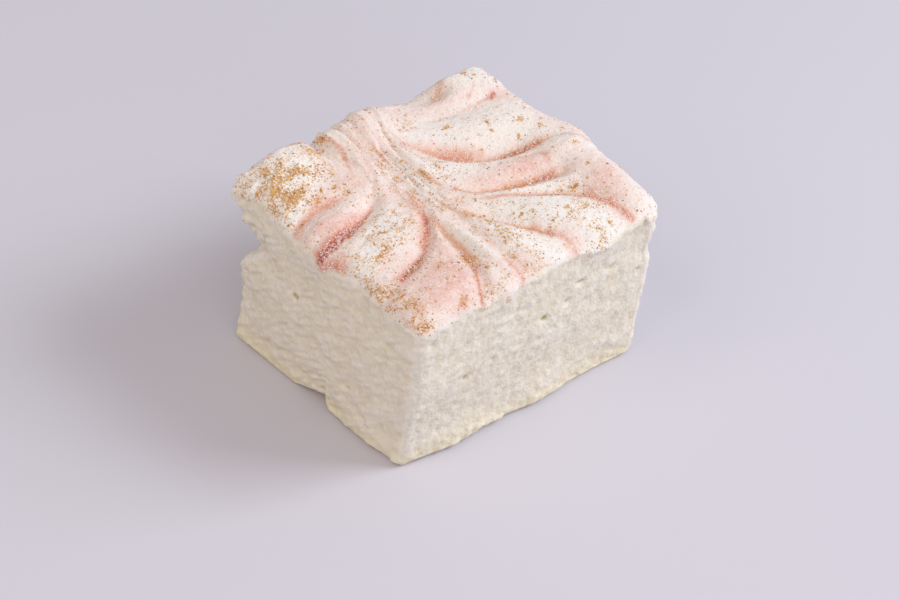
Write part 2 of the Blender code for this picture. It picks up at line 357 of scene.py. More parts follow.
def nick_lift(points):
    """Lift of the foot where a nick was torn from the left side: a wall, then a slope."""
    x, y, z = points.T
    slope = np.clip(1.0 - (y - NICK_WALL) / NICK_LENGTH, 0.0, 1.0)
    slope *= smooth((y - NICK_WALL) / NICK_WALL_WIDTH + 0.5)
    reach = smooth(1.0 - (x + HALF_WIDTH) / NICK_REACH)
    return NICK_HEIGHT * slope * reach * smooth(1.0 - z / 9.0)


print(len(SIDE_BULGES), "bulges and hollows along the sides")

# %% [markdown]
# ## The feathered crust
# Feathering leaves furrows: strokes of a comb that all leave one stem and curl out to the edges.
# Each furrow is one cubic curve with a width, a depth and a lean. Between the furrows the
# foam stands up in soft pillows.

# %% Furrows and pillows
# Start, two bends, end; half width, depth, lean, share of depth left at the end.
FURROWS = {
    "left back": ((-12.3, 8.0), (-19.5, 8.1), (-25.5, 9.1), (-26.2, 5.1), 1.2, 0.7, 0.0, 0.6),
    "left middle": ((-9.5, 6.8), (-11.6, 4.1), (-17.1, 2.7), (-26.8, -1.0), 1.5, 1.2, 0.1, 0.2),
    "left front": ((-6.3, 2.7), (-6.2, -5.8), (-13.2, -10.1), (-25.8, -13.4), 1.3, 1.0, -0.2, 0.3),
    "left of stem": ((-7.0, -1.8), (-7.7, -9.3), (-7.7, -15.3), (-13.0, -22.2), 1.3, 1.0, 0.2, 1.0),
    "back groove": ((-10.1, 10.2), (-8.0, 16.0), (-7.5, 19.0), (-9.2, 23.5), 1.1, 0.7, 0.2, 1.0),
    "right back": ((0.7, 13.1), (4.3, 5.6), (11.0, 1.0), (26.5, -1.2), 1.9, 1.3, 0.35, 0.1),
    "right middle": ((-0.3, 0.6), (4.3, -2.9), (10.2, -5.0), (17.2, -7.3), 1.7, 1.3, 0.35, 0.9),
    "right front": ((4.2, -5.6), (12.8, -8.3), (20.8, -13.8), (19.8, -22.6), 1.2, 1.0, 0.1, 0.5),
    "right of stem": ((-2.3, -3.3), (0.8, -9.8), (5.3, -14.3), (9.3, -21.7), 1.4, 1.0, 0.2, 0.4),
    "right edge": ((5.1, 15.1), (11.5, 14.9), (17.5, 13.4), (25.1, 11.6), 1.4, 0.6, 0.0, 0.3),
    "back hollow": ((15.6, 17.1), (13.4, 19.4), (10.9, 20.9), (9.4, 23.4), 1.9, 0.6, 0.0, 1.0),
    "curl": ((13.6, -0.7), (16.8, -0.9), (17.9, -2.5), (16.5, -4.9), 1.1, 0.45, 0.0, 0.3),
}
CURVE_STEPS = 48
START_FADE = 0.3

# Centre, half length, half width, turn in degrees, rise.
PILLOWS = (
    (-16.0, -16.8, 6.5, 4.0, -12.0, 0.9),
    (-19.5, 4.6, 5.5, 1.9, 4.0, 0.8),
    (-18.5, 14.5, 6.0, 4.5, 0.0, 0.6),
    (-16.5, -4.0, 7.0, 3.0, 18.0, 0.5),
    (15.0, 8.2, 8.0, 3.6, -10.0, 0.8),
    (11.0, -2.0, 8.0, 1.8, -8.0, 0.6),
    (22.0, -3.5, 3.0, 2.0, 0.0, 0.5),
    (10.0, -13.5, 6.5, 3.4, -42.0, 0.9),
    (22.5, -12.0, 3.0, 6.0, 0.0, 0.5),
    (15.5, 17.0, 6.0, 1.8, -10.0, 0.5),
    (-6.0, -11.0, 1.1, 8.0, 3.0, 0.6),
    (-1.0, -16.0, 2.2, 5.5, -8.0, 0.5),
    (2.5, 5.0, 1.8, 2.6, 20.0, 0.4),
)


def curve(start, first, second, end, steps):
    """Points along the cubic curve with these ends and bends."""
    t = np.linspace(0.0, 1.0, steps)[:, None]
    p = np.array((start, first, second, end))
    u = 1.0 - t
    return u**3 * p[0] + 3 * u * u * t * p[1] + 3 * u * t * t * p[2] + t**3 * p[3]


def beside_furrow(x, y, furrow):
    """Distance from a furrow's line, which hand of it each place is on, and how far along."""
    line = curve(*furrow[:4], CURVE_STEPS)
    heading = np.gradient(line, axis=0)
    away_x = x[:, None] - line[:, 0]
    away_y = y[:, None] - line[:, 1]
    distance = np.hypot(away_x, away_y)
    nearest = distance.argmin(axis=1)
    each = np.arange(len(x))
    turn = heading[nearest, 0] * away_y[each, nearest] - heading[nearest, 1] * away_x[each, nearest]
    hand = turn / (np.hypot(*heading[nearest].T) * (distance[each, nearest] + 0.3))
    return distance[each, nearest], hand, nearest / (CURVE_STEPS - 1)


def oval(x, y, centre_x, centre_y, half_length, half_width, turn):
    """A soft oval patch: 1 at its centre."""
    angle = math.radians(turn)
    along = (x - centre_x) * math.cos(angle) + (y - centre_y) * math.sin(angle)
    across = (y - centre_y) * math.cos(angle) - (x - centre_x) * math.sin(angle)
    return bump(np.hypot(along / half_length, across / half_width))


print(len(FURROWS), "furrows and", len(PILLOWS), "pillows")

# %% [markdown]
# ## The crown
# Under the swirls the top is a low dome that climbs to the torn back edge, where it ends in
# waves. It rolls down a little to the two near sides.

# %% Crown and relief
DOME_RISE, BACK_RISE, RIGHT_RISE = 0.5, 1.5, 2.0
FRONT_ROLL, FRONT_ROLL_WIDTH = 0.7, 4.0
BACK_WAVES = (
    (-16.8, 4.2, 1.5),
    (-10.5, 1.2, -1.7),
    (-8.3, 0.8, 0.8),
    (-1.0, 5.2, 1.7),
    (10.6, 4.0, -1.1),
    (17.6, 3.2, 0.8),
    (22.4, 1.4, 0.5),
)
STEM_CENTRE, STEM_LEAN, STEM_HALF_WIDTH = -4.6, 0.055, 5.4
THREAD_SPACING, THREAD_DEPTH = 2.9, 0.07
SKIN_DEPTH, SKIN_LENGTH = 0.14, 3.4


def crown_level(x, y):
    """Height of the crown over each place, before the swirls."""
    dome = DOME_RISE * (1.0 - (x / HALF_WIDTH) ** 2) * (1.0 - (y / HALF_DEPTH) ** 2)
    back = BACK_RISE * smooth((y - 4.0) / (HALF_DEPTH - 6.0))
    right = RIGHT_RISE * smooth((x - 10.0) / 14.0) * bump((y + 4.0) / 16.0)
    roll = FRONT_ROLL * smooth(1.0 - (y + HALF_DEPTH) / FRONT_ROLL_WIDTH)
    roll = roll + FRONT_ROLL * smooth(1.0 - (x + HALF_WIDTH) / FRONT_ROLL_WIDTH)
    near_back = smooth((y - HALF_DEPTH + 10.0) / 8.0)
    waves = sum(rise * bump((x - place) / width) for place, width, rise in BACK_WAVES)
    return SHOULDER_HEIGHT + dome + back + right - roll + near_back * waves


def stem_threads(x, y):
    """The combed ridges along the stem of the feather."""
    offset = x - STEM_CENTRE - STEM_LEAN * y - 0.5 * np.sin(y / 9.0)
    window = bump((offset / STEM_HALF_WIDTH) ** 2)
    return THREAD_DEPTH * window * np.sin(2.0 * np.pi * offset / THREAD_SPACING)


def swirl_relief(x, y):
    """Furrows, pillows, threads and uneven skin of the crust."""
    deepest = np.zeros_like(x)
    for furrow in FURROWS.values():
        half_width, full_depth, lean, end_share = furrow[4:]
        distance, hand, along = beside_furrow(x, y, furrow)
        start = smooth(along / START_FADE)
        fade = start * (1.0 - (1.0 - end_share) * smooth(along * 2.0 - 1.0))
        width = half_width * (0.6 + 0.4 * start) * (1.0 + lean * hand)
        depth = full_depth * fade * bump(distance / width)
        deepest = np.maximum(deepest, depth) + 0.25 * np.minimum(deepest, depth)
    raised = sum(rise * oval(x, y, *place) for *place, rise in PILLOWS)
    skin = SKIN_DEPTH * swell(x, y, 0.0 * x, SKIN_LENGTH)
    return raised - deepest + stem_threads(x, y) + skin


middle = np.zeros(1)
print("crown over the middle:", float(crown_level(middle, middle)[0]), "mm")

# %% [markdown]
# ## Which way the comb went
# The syrup is drawn out in streaks that follow the comb. A streak needs a number that stays the
# same along a stroke and changes from one stroke to the next. Each furrow gets such a number, its
# strand, and the places between them are filled in by letting the numbers spread evenly, as heat
# does in a plate. Noise that reads this number then comes out as streaks.

# %% Strand numbers over the crust
STRAND_STEP = 0.5
STRAND_HALF = (28.0, 24.5)
STRAND_ROUNDS = 700
STEM_STRANDS = {-3.7: (-4.9, -23.0), -2.6: (-2.8, -23.0)}
# Where each furrow's strand leaves the back edge.
STRAND_ROOTS = {
    "left back": -9.6,
    "left middle": -7.6,
    "left front": -5.8,
    "left of stem": -4.8,
    "right of stem": -1.4,
    "right front": -0.2,
    "right middle": 0.8,
    "right back": 2.2,
    "right edge": 4.0,
}


def strand_grid():
    """Spread the strand numbers of the furrows over a grid of the top."""
    columns = int(2 * STRAND_HALF[0] / STRAND_STEP) + 1
    rows = int(2 * STRAND_HALF[1] / STRAND_STEP) + 1
    value = np.zeros((rows, columns))
    known = np.zeros((rows, columns), bool)

    def draw(line, number):
        column = ((line[:, 0] + STRAND_HALF[0]) / STRAND_STEP).round().astype(int)
        row = ((line[:, 1] + STRAND_HALF[1]) / STRAND_STEP).round().astype(int)
        inside = (column >= 0) & (column < columns) & (row >= 0) & (row < rows)
        value[row[inside], column[inside]] = number
        known[row[inside], column[inside]] = True

    for root, end in STEM_STRANDS.items():
        draw(curve((root, 24.5), (root, 8.0), (end[0], 4.0), end, 200), root)
    for name, root in STRAND_ROOTS.items():
        furrow = FURROWS[name]
        start, first = np.array(furrow[0]), np.array(furrow[1])
        bend = start - 1.2 * (first - start) * 5.0 / np.linalg.norm(first - start)
        draw(curve((root, 24.5), (root, 14.0), tuple(bend), furrow[0], 200), root)
        draw(curve(*furrow[:4], 300), root)
    value[~known] = value[known].mean()
    for _ in range(STRAND_ROUNDS):
        wide = np.pad(value, 1, mode="edge")
        spread = (wide[:-2, 1:-1] + wide[2:, 1:-1] + wide[1:-1, :-2] + wide[1:-1, 2:]) / 4.0
        value = np.where(known, value, spread)
    return value


def strand_at(x, y, grid):
    """The strand number at each place, read between the grid's points."""
    column = np.clip((x + STRAND_HALF[0]) / STRAND_STEP, 0, grid.shape[1] - 1.001)
    row = np.clip((y + STRAND_HALF[1]) / STRAND_STEP, 0, grid.shape[0] - 1.001)
    c, r = column.astype(int), row.astype(int)
    u, v = column - c, row - r
    near = grid[r, c] * (1 - u) + grid[r, c + 1] * u
    far = grid[r + 1, c] * (1 - u) + grid[r + 1, c + 1] * u
    return near * (1 - v) + far * v


strands = strand_grid()
print("strand numbers run from", strands.min().round(2), "to", strands.max().round(2))

# %% [markdown]
# ## Where the crust ends and what the cut foam shows
# The crust laps a little way down the sides in an uneven hem, with a few runs of syrup. Below it
# the knife opened the foam: small flat lumps in slanting rows, with painted shade in the gaps
# between them, and a few burst bubbles whose hollows get a yellowish painted shade. The foot is a
# thicker, yellower skin.

# %% Hem of the crust, bubbles and foam
HEM_LEVEL = 30.2
HEM_SOFTNESS = 0.8

# Side, place along it, half width, how far the hem hangs lower there.
HEM_RUNS = (
    ("front", -7.7, 0.9, 3.2),
    ("front", -11.8, 1.3, 2.0),
    ("front", -4.6, 1.6, 0.9),
    ("front", 1.5, 2.4, -0.6),
    ("front", 12.2, 2.6, 1.7),
    ("front", 8.2, 1.6, 0.6),
    ("front", 23.6, 0.9, 2.6),
    ("left", -0.8, 2.0, 1.3),
    ("left", 12.0, 3.0, -1.5),
    ("left", -8.0, 2.0, -1.0),
    ("left", 22.0, 2.0, 1.2),
    ("right", -6.0, 3.0, 1.6),
    ("right", 9.0, 2.5, 1.0),
    ("back", -6.0, 3.0, 1.2),
    ("back", 12.0, 4.0, 1.8),
)

# Side, place along it, level, half length, half height, how far the roll of crust stands out.
HEM_ROLLS = (
    ("front", 14.6, 29.4, 2.4, 1.9, 0.45),
    ("front", 19.2, 29.2, 2.0, 1.7, 0.45),
    ("front", 10.4, 29.8, 1.7, 1.3, 0.4),
    ("front", 22.4, 28.6, 1.6, 2.2, 0.2),
    ("front", -7.0, 28.8, 1.6, 2.2, 0.5),
    ("front", -12.4, 29.6, 1.6, 1.6, 0.4),
    ("front", 3.4, 30.0, 2.2, 1.2, 0.3),
    ("front", -2.6, 29.8, 1.8, 1.4, 0.3),
    ("left", 3.2, 29.4, 1.8, 1.7, 0.5),
    ("left", -0.8, 28.8, 1.6, 1.8, 0.4),
    ("left", -12.0, 29.8, 2.4, 1.3, 0.3),
    ("left", -19.0, 29.6, 2.0, 1.4, 0.3),
    ("left", 10.0, 29.9, 2.6, 1.2, 0.3),
    ("right", -8.0, 29.6, 2.6, 1.6, 0.3),
    ("right", 8.0, 29.6, 3.0, 1.6, 0.3),
    ("back", -6.0, 30.4, 3.0, 1.6, 0.1),
    ("back", 10.0, 30.4, 4.0, 1.6, 0.1),
)
TORN_CORNER = ((-25.4, 22.0, 24.5), (4.5, 6.0, 9.0), 0.9)

# Side, place along it, level, half length, half height, depth.
BUBBLES = (
    ("front", -22.6, 26.4, 0.7, 0.5, 0.5),
    ("front", -14.6, 22.6, 0.4, 0.3, 0.35),
    ("front", -14.0, 15.0, 0.65, 0.5, 0.75),
    ("front", -8.5, 16.2, 0.45, 0.6, 0.5),
    ("front", -3.4, 23.6, 0.5, 0.4, 0.45),
    ("front", -3.6, 18.6, 0.4, 0.3, 0.35),
    ("front", 1.2, 15.3, 0.45, 0.5, 0.45),
    ("front", 3.9, 16.4, 0.6, 0.4, 0.3),
    ("front", 2.0, 19.1, 0.8, 0.6, 0.9),
    ("front", 6.7, 20.3, 0.6, 0.5, 0.7),
    ("front", 9.3, 23.1, 0.75, 0.45, 0.9),
    ("front", 16.1, 22.5, 0.75, 0.35, 0.7),
    ("front", 18.8, 19.9, 0.5, 0.4, 0.35),
    ("front", 23.2, 18.7, 0.4, 0.6, 0.6),
    ("front", 11.4, 18.3, 1.2, 0.9, 0.35),
    ("front", -18.0, 5.4, 0.6, 0.5, 0.4),
    ("left", 5.6, 18.2, 0.75, 0.7, 1.0),
    ("left", -7.2, 8.2, 0.75, 0.45, 0.6),
    ("left", -0.4, 4.8, 0.85, 0.5, 0.5),
    ("left", -11.2, 4.7, 0.9, 0.35, 0.5),
    ("left", 16.2, 18.2, 0.9, 0.4, 0.35),
    ("left", 14.5, 26.5, 0.8, 0.4, 0.35),
    ("left", -15.2, 23.0, 0.7, 0.4, 0.35),
    ("left", -21.8, 20.0, 0.7, 0.35, 0.35),
    ("right", -9.0, 14.0, 0.8, 0.6, 0.7),
    ("right", 4.0, 21.0, 0.7, 0.5, 0.6),
    ("right", 13.0, 9.0, 0.6, 0.5, 0.5),
    ("back", -11.0, 19.0, 0.8, 0.6, 0.7),
    ("back", 3.0, 11.0, 0.7, 0.6, 0.6),
    ("back", 15.0, 22.0, 0.6, 0.5, 0.5),
)
FOOT_SKIN_HEIGHT = 4.6
ROW_SLOPE = 0.62


def hem_level(points, outward):
    """Height of the crust's hem around the sides."""
    level = np.full(len(points), HEM_LEVEL)
    looks = facing(outward)
    for side, place, half_width, drop in HEM_RUNS:
        level -= drop * looks[side] * bump((along_side(points, side) - place) / half_width)
    return level - 0.55 * lumps(points, (1.6, 1.6, 4.0), 3) - 0.35 * lumps(points, (0.6, 0.6, 1.6), 4)


def hem_rolls(points, outward):
    """How far the rolls of crust stand out over the sides."""
    looks = facing(outward)
    out = np.zeros(len(points))
    for side, place, level, half_length, half_height, stand in HEM_ROLLS:
        along = (along_side(points, side) - place) / half_length
        away = np.hypot(along, (points[:, 2] - level) / half_height)
        out += stand * smooth(looks[side] * 1.5) * bump(away)
    return out


def bubble_depths(points, outward):
    """Depth of the burst bubbles at each point of the sides."""
    looks = facing(outward)
    depth = np.zeros(len(points))
    for side, place, level, half_length, half_height, deep in BUBBLES:
        along = (along_side(points, side) - place) / half_length
        away = np.hypot(along, (points[:, 2] - level) / half_height)
        depth += deep * (looks[side] > 0.8) * bump(away)
    return depth


def foam_lumps(points, outward):
    """Relief of the cut foam: rows of flat lumps on the two knife sides, rounder ones between."""
    knife = smooth(np.abs(outward[:, 0]) * 1.4)
    slanted = points.copy()
    slanted[:, 2] += ROW_SLOPE * points[:, 1] * knife
    near_foot = smooth(1.0 - points[:, 2] / FOOT_SKIN_HEIGHT)
    rows = lumps(slanted, (2.8, 2.6, 0.8), 11)
    cells = lumps(points, (1.5, 1.5, 1.3), 12)
    fine = lumps(points, (0.7, 0.7, 0.55), 14)
    broad = lumps(points, (6.0, 6.0, 4.0), 13)
    crumbly = lumps(points, (1.3, 1.3, 1.0), 15)
    rows_share = 0.05 + 0.19 * knife
    return rows_share * rows + (0.14 - 0.03 * knife) * cells + 0.08 * fine + 0.14 * broad + 0.32 * near_foot * crumbly


print(len(BUBBLES), "burst bubbles,", len(HEM_RUNS), "runs in the hem")

# %% [markdown]
# ## Shaping the body
# Now every point of the block is placed, in the same order as in the solid: round, measure the
# crown, draw to the uneven square, push the sides out, lift the crown, press the swirls. The fine
# relief is added on top of that, and it stays within a few tenths of a millimetre.

# %% Place the points
ROPE_RELIEF = 0.46
THREAD_RELIEF = 0.10
GRAIN_RELIEF = 0.05
CRUST_STAND = 0.26


def block_tree():
    """A closed block with this many cells along each side."""
    bench, given = new_tree("plain block", {f"Cells {axis}": "Int" for axis in "XYZ"})
    points = {f"Vertices {axis}": given[f"Cells {axis}"] + 1 for axis in "XYZ"}
    cube = bench.node("GeometryNodeMeshCube", values={"Size": (1.0, 1.0, 1.0), **points})
    close_tree(bench, cube, None)
    return bench


def line_of_cells(share, cells, low, high, low_edge, high_edge):
    """Where each line of the block's cells lies, with narrow cells in both rounded edges."""
    marks = (0, EDGE_CELLS, cells - EDGE_CELLS, cells)
    return np.interp(share * cells, marks, (low, low + low_edge, high - high_edge, high))


def shape(block):
    """Place every point; returns the places, the rounded block and the outward directions."""
    plain, outward = rounded(block)
    level = crown_level(plain[:, 0], plain[:, 1])
    relief = swirl_relief(plain[:, 0], plain[:, 1])
    points = pinched(uneven_square(plain))
    sideways = np.hypot(outward[:, 0], outward[:, 1])
    direction = outward[:, :2] / np.maximum(sideways, 1e-6)[:, None]
    out = side_relief(points, outward) * smooth(sideways)
    above_foot = points[:, 2] / SHOULDER_HEIGHT
    foot_lift = nick_lift(points)
    points[:, :2] += direction * out[:, None]
    points[:, 2] += (level - SHOULDER_HEIGHT) * above_foot**2
    points[:, 2] += relief * smooth(outward[:, 2] * 1.2) + foot_lift
    return points, plain, outward


body = grow("marshmallow_body", block_tree(), {f"Cells {a}": n for a, n in zip("XYZ", CELLS)})
share = np.array([vertex.co[:] for vertex in body.data.vertices]) + 0.5
block = np.empty_like(share)
block[:, 0] = line_of_cells(share[:, 0], CELLS[0], -HALF_WIDTH, HALF_WIDTH, SHOULDER_RADIUS, SHOULDER_RADIUS)
block[:, 1] = line_of_cells(share[:, 1], CELLS[1], -HALF_DEPTH, HALF_DEPTH, SHOULDER_RADIUS, SHOULDER_RADIUS)
block[:, 2] = line_of_cells(share[:, 2], CELLS[2], 0.0, SHOULDER_HEIGHT, FOOT_RADIUS, SHOULDER_RADIUS)
points, plain, outward = shape(block)
print("points:", len(points), " height:", points[:, 2].max().round(2), "mm")

# %% Add the fine relief
x, y = plain[:, 0], plain[:, 1]
upward = smooth(outward[:, 2] * 1.4)
flat_foot = smooth(-outward[:, 2] * 2.0)
strand = strand_at(x, y, strands)
crust = np.maximum(smooth((points[:, 2] - hem_level(points, outward)) / HEM_SOFTNESS + 0.5), upward)
crust = crust * (1.0 - flat_foot)

unlifted = points.copy()
unlifted[:, 2] -= nick_lift(pinched(uneven_square(plain)))
bubbles = bubble_depths(unlifted, outward)
foam = foam_lumps(unlifted, outward)
ropes = lumps(np.column_stack((strand * 1.3, x / 14.0, y / 14.0)), (1.5, 1.0, 1.0), 20)
streaks = lumps(np.column_stack((strand * 1.3, x / 9.0, y / 9.0)), (0.5, 1.0, 1.0), 21)
fine_streaks = lumps(np.column_stack((strand * 1.3, x / 6.0, y / 6.0)), (0.22, 1.0, 1.0), 22)
grains = lumps(points, (0.9, 0.9, 0.9), 23)

rolls = 0.4 * lumps(points, (2.4, 2.4, 2.0), 24)
foam_stand = (foam - bubbles) * (1.0 - crust) + (CRUST_STAND + rolls) * crust * (1.0 - upward)
stem = bump((x - STEM_CENTRE - STEM_LEAN * y) / (1.6 * STEM_HALF_WIDTH))
crust_rise = (0.3 + 0.7 * stem) * ROPE_RELIEF * ropes + GRAIN_RELIEF * grains
crust_rise += THREAD_RELIEF * (1.0 - 0.45 * stem) * (streaks + 0.25 * fine_streaks)
fine = foam_stand * (1.0 - upward) + crust_rise * crust
fine += hem_rolls(points, outward) + dent(points, *TORN_CORNER) * lumps(points, (1.5, 1.5, 1.3), 25)
points += outward * (fine * (1.0 - flat_foot))[:, None]
points[:, :2] += np.array(TO_CENTRE)
body.data.vertices.foreach_set("co", (points * MILLIMETRE).astype(np.float32).ravel())
body.data.update()
print("fine relief runs from", fine.min().round(2), "to", fine.max().round(2), "mm")

# %% [markdown]
# ## Syrup
# The material will be procedural, but where the syrup lies is a fact of this piece, so it is
# written on the mesh as attributes between 0 and 1. Syrup gathers on one wall of a furrow: each
# stroke is a curve with a sharp edge on one hand and a soft one on the other, a strength, and a
# share of amber, where the syrup browned. Noise that follows the strands frays every edge. One
# amber stroke and one blush patch in the back hollow are painted shadow, not syrup.

# %% Strokes of syrup, and one of painted shadow
# Start, two bends, end; width to the left and right of the heading; share of width and strength
# at the start; strength; amber.
SYRUP_AND_SHADE_STROKES = (
    ((-26.3, 5.6), (-25.2, 7.8), (-22.3, 8.4), (-16.0, 8.4), 0.7, 0.8, 1.0, 0.48, 0.2),
    ((-21.6, 8.4), (-20.6, 8.8), (-19.6, 9.1), (-17.8, 10.0), 0.6, 0.5, 0.8, 0.5, 0.5),
    ((-10.6, 5.4), (-12.8, 3.5), (-16.2, 1.7), (-26.6, -0.5), 0.5, 1.7, 0.12, 1.0, 0.15),
    ((-6.7, 1.8), (-6.6, -3.0), (-7.8, -4.6), (-12.6, -8.3), 0.35, 1.1, 0.8, 0.6, 0.3),
    ((-10.6, -6.8), (-13.4, -9.5), (-17.0, -11.2), (-21.0, -12.0), 0.5, 1.0, 0.6, 0.62, 0.25),
    ((-6.7, -2.8), (-7.6, -8.2), (-7.4, -12.8), (-9.1, -16.1), 0.6, 0.9, 0.5, 0.6, 0.75),
    ((-8.7, -15.3), (-10.0, -17.2), (-11.2, -19.2), (-12.8, -21.8), 0.3, 0.4, 1.0, 0.62, 0.4),
    ((-9.1, 22.0), (-7.9, 18.5), (-7.7, 16.0), (-10.3, 12.1), 0.3, 0.5, 0.8, 0.45, 0.2),
    ((0.6, 12.4), (2.2, 9.7), (5.2, 7.2), (9.4, 4.3), 1.6, 0.9, 0.5, 0.55, 0.4),
    ((4.9, 6.6), (7.4, 2.6), (12.5, 0.7), (20.0, -0.6), 1.6, 0.6, 0.7, 0.8, 0.5),
    ((17.9, 0.3), (21.2, -0.5), (23.4, -1.6), (25.2, -5.2), 0.4, 0.4, 1.0, 0.32, 0.3),
    ((-0.2, -0.8), (4.6, -3.5), (10.3, -5.1), (17.0, -7.6), 1.2, 0.4, 0.5, 0.85, 0.6),
    ((2.6, -4.8), (11.0, -7.3), (18.2, -12.5), (19.7, -22.0), 0.8, 1.0, 0.6, 0.85, 0.4),
    ((-2.2, -5.2), (-0.2, -9.2), (2.8, -13.4), (6.2, -18.0), 1.1, 0.9, 0.7, 0.86, 0.7),
    ((6.7, -17.1), (7.3, -19.1), (7.1, -20.7), (6.9, -22.4), 0.8, 0.8, 1.0, 0.25, 0.1),
    ((13.5, 14.3), (17.4, 13.7), (20.2, 13.1), (21.8, 13.9), 0.35, 0.35, 0.6, 0.4, 0.1),
    # Painted shadow, not syrup: the shaded side of the ridge beside the back hollow.
    ((12.7, 17.9), (14.4, 19.6), (15.2, 20.4), (17.2, 22.0), 0.8, 0.7, 1.0, 0.34, 0.9),
    ((13.8, -1.4), (17.2, -1.0), (18.0, -2.7), (16.8, -4.6), 0.5, 0.5, 0.6, 0.3, 0.9),
    ((-1.4, 6.4), (-1.2, 4.6), (-1.0, 3.0), (-0.7, 1.2), 0.5, 0.4, 1.0, 0.42, 1.0),
    ((-0.1, 17.0), (0.2, 15.2), (0.9, 13.6), (0.8, 12.1), 0.3, 0.3, 1.0, 0.25, 0.5),
    ((16.7, 15.1), (17.8, 15.4), (18.8, 15.9), (19.8, 17.0), 0.25, 0.3, 1.0, 0.25, 0.1),
    ((-3.6, 15.0), (-3.9, 13.0), (-3.9, 12.0), (-4.2, 10.0), 0.3, 0.3, 1.0, 0.3, 0.6),
    ((-5.9, 4.0), (-6.4, 2.0), (-6.6, 0.6), (-6.6, -0.6), 0.3, 0.3, 1.0, 0.32, 0.4),
    ((-4.6, -17.6), (-4.4, -19.0), (-4.2, -20.0), (-4.4, -22.4), 0.6, 0.6, 1.0, 0.35, 0.4),
)
# Centre, half length, half width, turn in degrees, strength, amber: thick drops of syrup.
SYRUP_SPOTS = (
    (-26.2, -0.6, 2.6, 1.2, 80.0, 0.55, 0.0),
    (-25.0, -2.4, 1.6, 1.5, 0.0, 0.5, 0.1),
    (-20.4, 1.6, 3.4, 0.7, 4.0, 0.35, 0.0),
    (-17.2, -11.0, 1.9, 0.7, 14.0, 0.6, 0.3),
    (-14.6, -9.8, 1.9, 0.7, 26.0, 0.45, 0.3),
    (-26.0, -3.0, 1.6, 1.6, 0.0, 0.4, 0.1),
    (-16.0, -20.7, 1.0, 0.7, 35.0, 0.5, 0.5),
    (8.4, 1.7, 0.6, 0.5, 0.0, 0.4, 0.3),
    (10.8, 4.6, 1.0, 0.7, 0.0, 0.25, 0.5),
    (14.4, 1.4, 1.6, 0.5, -15.0, 0.45, 0.6),
    (17.0, 0.4, 0.5, 0.4, 0.0, 0.35, 0.4),
    (15.7, -6.1, 1.5, 0.6, 0.0, 0.4, 0.4),
    (17.7, -13.7, 1.2, 0.9, -50.0, 0.3, 0.1),
    (19.3, -16.9, 0.9, 0.5, -50.0, 0.3, 0.7),
    (20.7, 13.3, 0.8, 0.5, 35.0, 0.75, 0.1),
    (0.8, -0.4, 0.5, 0.5, 0.0, 0.35, 0.3),
    (5.0, -14.3, 0.9, 0.7, 0.0, 0.35, 0.8),
    (6.4, -16.5, 0.8, 0.4, -20.0, 0.3, 0.8),
)
# Centre, half length, half width, turn in degrees, strength: thin syrup over a pillow, and one patch of painted shade
# in the back hollow.
BLUSH_AND_SHADE_PATCHES = (
    (-17.5, -17.0, 9.0, 6.0, -12.0, 1.0),
    (-22.0, 1.0, 4.0, 4.0, 0.0, 0.4),
    (-12.5, -14.0, 3.0, 4.0, 0.0, 0.3),
    (-17.0, 3.8, 4.5, 1.6, 8.0, 0.6),
    (-21.5, 4.6, 4.5, 2.6, 4.0, 0.6),
    (-14.5, 9.5, 5.0, 2.6, 10.0, 0.6),
    (7.5, -1.4, 6.5, 2.2, -12.0, 0.6),
    (14.0, -3.0, 4.0, 2.4, -10.0, 0.7),
    (21.0, -10.5, 4.0, 6.0, 10.0, 0.5),
    (21.0, -16.0, 4.5, 6.0, 0.0, 0.35),
    (12.0, 16.0, 11.0, 2.6, -6.0, 0.35),
    (22.4, 13.0, 2.4, 1.8, -30.0, 0.6),
    # Painted shade, not syrup: the back hollow, where shade falls.
    (11.5, 19.0, 5.0, 2.0, 0.0, 0.35),
    (25.4, 5.0, 2.4, 9.0, 0.0, 0.5),
    (14.0, 8.0, 12.0, 6.0, -15.0, 0.12),
    (-18.0, -8.4, 5.0, 2.0, 20.0, 0.45),
    (-9.8, -5.0, 2.6, 2.2, 30.0, 0.6),
    (-10.4, -9.5, 2.2, 4.0, 8.0, 0.5),
    (-7.8, 3.0, 3.0, 7.0, 5.0, 0.5),
    (-5.0, 14.0, 5.5, 9.0, 0.0, 0.4),
    (-12.5, 13.0, 2.6, 6.0, 0.0, 0.4),
    (-2.0, -3.5, 4.0, 5.0, -30.0, 0.45),
    (4.2, 8.0, 4.5, 2.2, -48.0, 0.4),
    (6.6, -20.0, 1.6, 2.4, -10.0, 0.6),
    (-2.8, -20.0, 3.2, 2.4, 0.0, 0.55),
    (-3.6, -13.0, 1.6, 5.5, 0.0, 0.4),
    (3.5, 20.5, 6.0, 3.0, 0.0, 0.35),
    (9.0, -19.5, 2.0, 2.0, 0.0, 0.35),
)


def stroke_strength(x, y, stroke, fray):
    """How much colour one stroke leaves at each place: syrup for most strokes, painted shadow for the back hollow's.
    """
    left, right, at_start, strength, _ = stroke[4:]
    distance, hand, along = beside_furrow(x, y, stroke)
    width = np.where(hand > 0.0, left, right) * (at_start + (1.0 - at_start) * along)
    ends = smooth(along / 0.08 + 0.4) * smooth((1.0 - along) / 0.08 + 0.4)
    share = at_start + (1.0 - at_start) * smooth(along * 1.4)
    return strength * share * ends * bump(np.maximum(distance + fray, 0.0) / width)


fray = 0.12 * streaks + 0.10 * fine_streaks + 0.10 * grains
rose = np.zeros(len(points))
amber = np.zeros(len(points))
weight = np.full(len(points), 1e-6)
for stroke in SYRUP_AND_SHADE_STROKES:
    here = stroke_strength(x, y, stroke, fray)
    rose = np.maximum(rose, here) + 0.35 * np.minimum(rose, here)
    amber += stroke[-1] * here
    weight += here
for *place, strength, turned in SYRUP_SPOTS:
    here = strength * oval(x + fray, y - fray, *place)
    rose = rose + here
    amber += turned * here
    weight += here
amber /= weight
rose = np.clip(rose, 0.0, 1.1)

